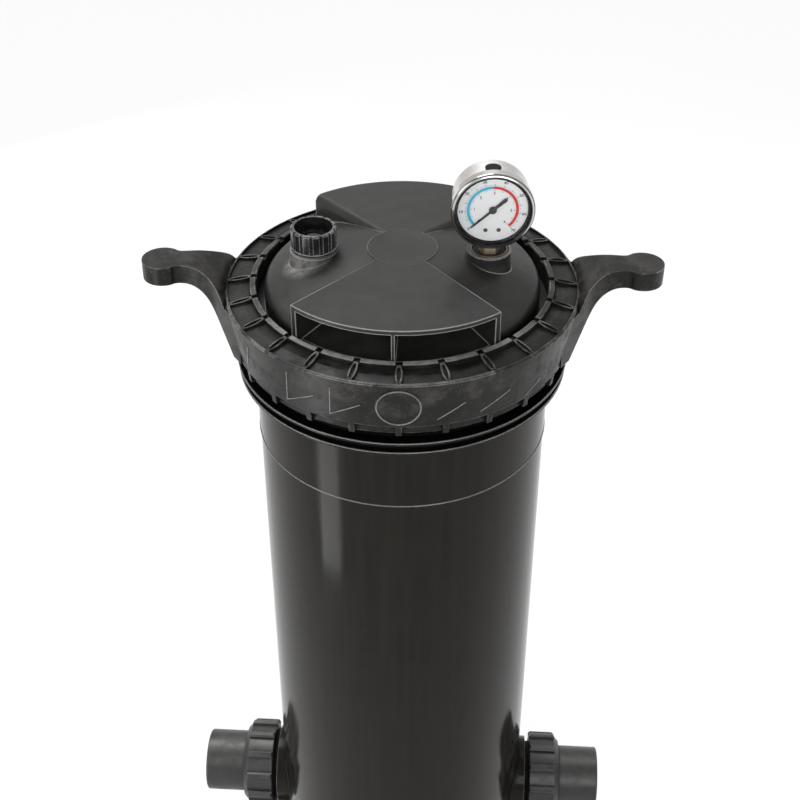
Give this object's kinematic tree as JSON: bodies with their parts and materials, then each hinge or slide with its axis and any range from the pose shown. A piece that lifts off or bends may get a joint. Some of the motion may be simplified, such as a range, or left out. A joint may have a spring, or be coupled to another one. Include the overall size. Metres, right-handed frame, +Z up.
{
  "type": "pool cartridge filter",
  "caption": "Top-loading pool cartridge filter: tall round tank, domed lid with finger hoods, lock ring with goose-neck handles, pressure gauge and air relief knob.",
  "frame": {"origin": "middle of the underside of the base stand, on the tank axis", "axes": "+Z up along the tank axis; the front, with the gauge face and the drain, is -Y; the inlet is at -X and the outlet at +X"},
  "size_m": [0.38, 0.28, 0.7348],
  "materials": {
    "tank_plastic": "moulded glass-filled plastic, near black, with a soft gloss",
    "base_plastic": "moulded plastic, near black",
    "lid_plastic": "moulded glass-filled plastic, dark grey, satin",
    "ring_plastic": "moulded glass-filled plastic, dark grey, slightly mottled",
    "union_plastic": "moulded plastic, black",
    "pipe_plastic": "white rigid plastic pipe",
    "knob_plastic": "moulded plastic, glossy black",
    "valve_plastic": "moulded plastic, dark grey",
    "black_rubber": "black rubber",
    "stainless": "satin stainless steel",
    "screw_steel": "stainless steel screws",
    "bezel_chrome": "bright polished steel",
    "stem_brass": "turned brass",
    "clear_window": "clear glass",
    "dial_white": "white painted dial, plain scale",
    "pointer_black": "black painted pointer",
    "media_white": "white pleated polyester felt",
    "core_white": "white perforated plastic tube",
    "cap_grey": "moulded urethane end cap, grey"
  },
  "bodies": {
    "tank": {"base_stand": "base_plastic", "base_screws": "screw_steel", "tank_shell": "tank_plastic", "outlet_pipe": "pipe_plastic", "inlet_diffuser": "pipe_plastic", "outlet_union_seal": "black_rubber", "outlet_union_tail": "union_plastic", "inlet_union_seal": "black_rubber", "inlet_union_tail": "union_plastic", "lid_seal": "black_rubber"},
    "inlet_nut": {"inlet_union_nut": "union_plastic"},
    "outlet_nut": {"outlet_union_nut": "union_plastic"},
    "drain_seal": {"drain_seal": "black_rubber"},
    "drain_plug": {"drain_plug": "union_plastic"},
    "lid": {"lid_dome": "lid_plastic", "relief_body": "valve_plastic", "gauge_stem": "stem_brass", "gauge_washer": "black_rubber", "gauge_case": "stainless", "gauge_bezel": "bezel_chrome", "gauge_window": "clear_window", "gauge_gasket": "black_rubber", "gauge_dial": "dial_white", "dial_screws": "screw_steel", "gauge_movement": "stem_brass", "bourdon_tube": "stem_brass", "fill_plug": "black_rubber"},
    "lock_ring": {"lock_ring": "ring_plastic"},
    "relief_stem": {"relief_stem": "valve_plastic", "relief_seal": "black_rubber"},
    "relief_knob": {"relief_knob": "knob_plastic"},
    "gauge_pointer": {"gauge_pointer": "pointer_black"},
    "cartridge": {"filter_media": "media_white", "cartridge_core": "core_white", "top_cap": "cap_grey", "bottom_cap": "cap_grey", "cartridge_seal": "black_rubber"}
  },
  "joints": [
    {"name": "lid_lift", "type": "slide", "parent": "tank", "child": "lid", "axis": [0, 0, 1], "range_m": [0, 0.69]},
    {"name": "ring_turn", "type": "hinge", "parent": "lid", "child": "lock_ring", "pos_m": [0, 0, 0.627], "axis": [0, 0, 1], "range_deg": [-30, 0]},
    {"name": "cartridge_lift", "type": "slide", "parent": "tank", "child": "cartridge", "axis": [0, 0, 1], "range_m": [0, 0.553]},
    {"name": "relief_lift", "type": "slide", "parent": "lid", "child": "relief_stem", "axis": [0, 0, 1], "range_m": [0, 0.00251]},
    {"name": "relief_turn", "type": "hinge", "parent": "relief_stem", "child": "relief_knob", "pos_m": [-0.0641, 0, 0.67], "axis": [0, 0, 1], "range_deg": [0, 360]},
    {"name": "gauge_swing", "type": "hinge", "parent": "lid", "child": "gauge_pointer", "pos_m": [0.06337, -0.00996, 0.7053], "axis": [-0.0872, 0.9962, 0], "range_deg": [0, 270], "stiffness_Nm_per_rad": 0.0002, "springref_deg": -17.19},
    {"name": "inlet_nut_turn", "type": "hinge", "parent": "tank", "child": "inlet_nut", "pos_m": [-0.135, 0, 0.084], "axis": [1, 0, 0], "continuous": true},
    {"name": "outlet_nut_turn", "type": "hinge", "parent": "tank", "child": "outlet_nut", "pos_m": [0.135, 0, 0.084], "axis": [1, 0, 0], "continuous": true},
    {"name": "drain_draw", "type": "slide", "parent": "tank", "child": "drain_seal", "axis": [0, -1, 0], "range_m": [0, 0.0151]},
    {"name": "drain_turn", "type": "hinge", "parent": "drain_seal", "child": "drain_plug", "pos_m": [0, -0.123, 0.056], "axis": [0, -1, 0], "range_deg": [0, 1800]}
  ],
  "couplings": [
    {"joint": "cartridge_lift", "follows": "lid_lift", "ratio": 0.8},
    {"joint": "relief_lift", "follows": "relief_turn", "m_per_rad": 0.00039789},
    {"joint": "drain_draw", "follows": "drain_turn", "m_per_rad": 0.00047746}
  ]
}
